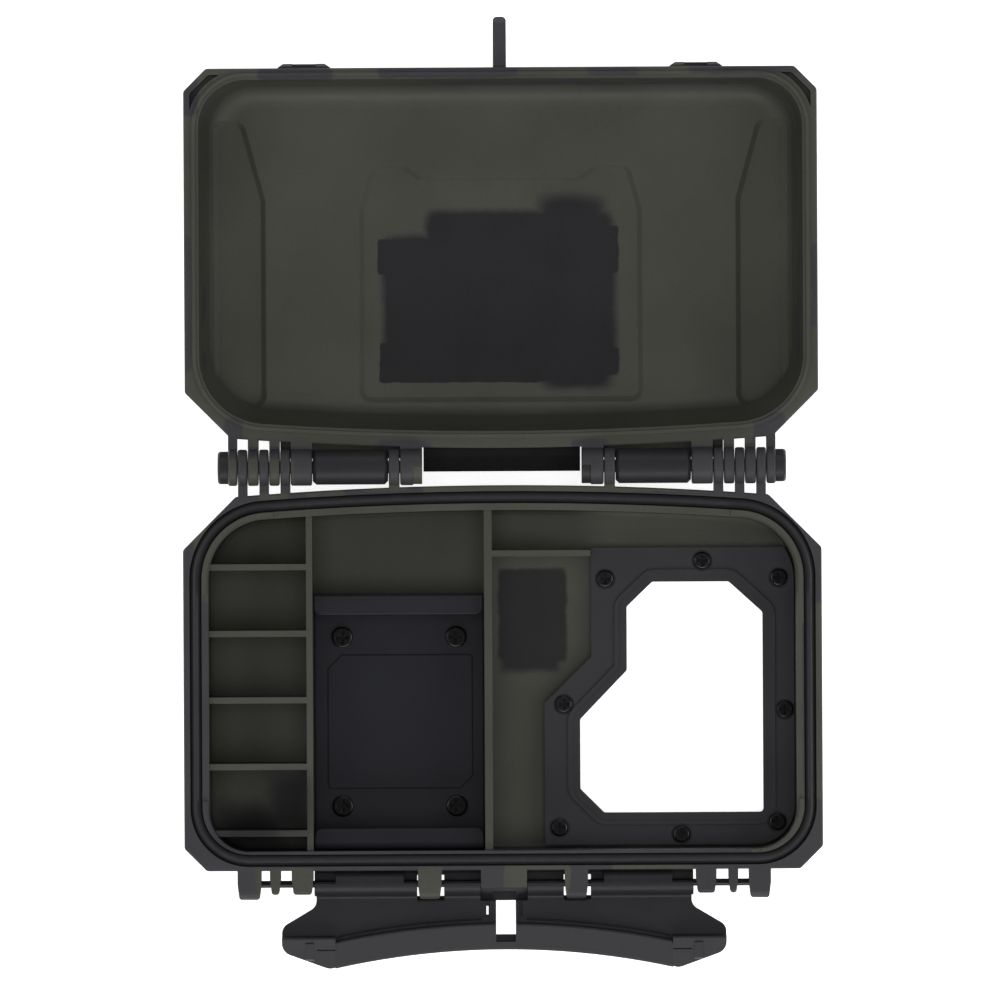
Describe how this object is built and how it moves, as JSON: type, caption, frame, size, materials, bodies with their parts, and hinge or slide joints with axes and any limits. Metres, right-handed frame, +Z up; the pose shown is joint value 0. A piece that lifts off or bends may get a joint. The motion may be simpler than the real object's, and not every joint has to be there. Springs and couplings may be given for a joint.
{
  "type": "field camera housing",
  "caption": "Rugged clamshell housing for a field camera, opened flat: sealed tray with dividers, module holder and clamped clear window, hinged lid and over-centre latch.",
  "frame": {"origin": "under the middle of the opened housing, on the surface it lies on", "axes": "+X along the hinge to the window side, +Y from the tray to the lid, +Z up out of the open shells"},
  "size_m": [0.2028, 0.3024, 0.0398],
  "materials": {
    "base_plastic": "moulded olive nylon with sprayed charcoal camouflage",
    "lid_plastic": "moulded olive nylon with sprayed charcoal camouflage",
    "seal_rubber": "satin silicone cord",
    "gasket_rubber": "soft closed-cell rubber",
    "clear_pane": "clear polished sheet",
    "frame_plastic": "fine-textured charcoal plastic",
    "holder_black": "satin black bent sheet",
    "latch_plastic": "glass-filled charcoal nylon",
    "sleeve_plastic": "charcoal plastic",
    "guard_plastic": "matt black plastic",
    "screw_steel": "black oxide",
    "insert_brass": "knurled brass",
    "pin_steel": "ground steel rod"
  },
  "bodies": {
    "base": {"base_shell": "base_plastic", "seal_ring": "seal_rubber", "window_gasket": "gasket_rubber", "window_pane": "clear_pane", "window_frame": "frame_plastic", "window_screws": "screw_steel", "window_inserts": "insert_brass", "holder_bracket": "holder_black", "holder_screws": "screw_steel", "holder_inserts": "insert_brass", "latch_pin": "pin_steel"},
    "lid": {"lid_shell": "lid_plastic", "hinge_pin_left": "pin_steel", "hinge_pin_right": "pin_steel", "hinge_sleeve_left": "sleeve_plastic", "hinge_sleeve_right": "sleeve_plastic", "hinge_end_cap_left": "sleeve_plastic", "hinge_end_cap_right": "sleeve_plastic", "hinge_plug_left": "sleeve_plastic", "hinge_plug_right": "sleeve_plastic", "hinge_guard": "guard_plastic"},
    "latch": {"latch_handle": "latch_plastic"}
  },
  "joints": [
    {"name": "lid_hinge", "type": "hinge", "parent": "base", "child": "lid", "pos_m": [0, 0.0082, 0.034], "axis": [1, 0, 0], "range_deg": [0, 180]},
    {"name": "latch_hinge", "type": "hinge", "parent": "base", "child": "latch", "pos_m": [0, -0.1242, 0.03], "axis": [-1, 0, 0], "range_deg": [0, 90]}
  ]
}
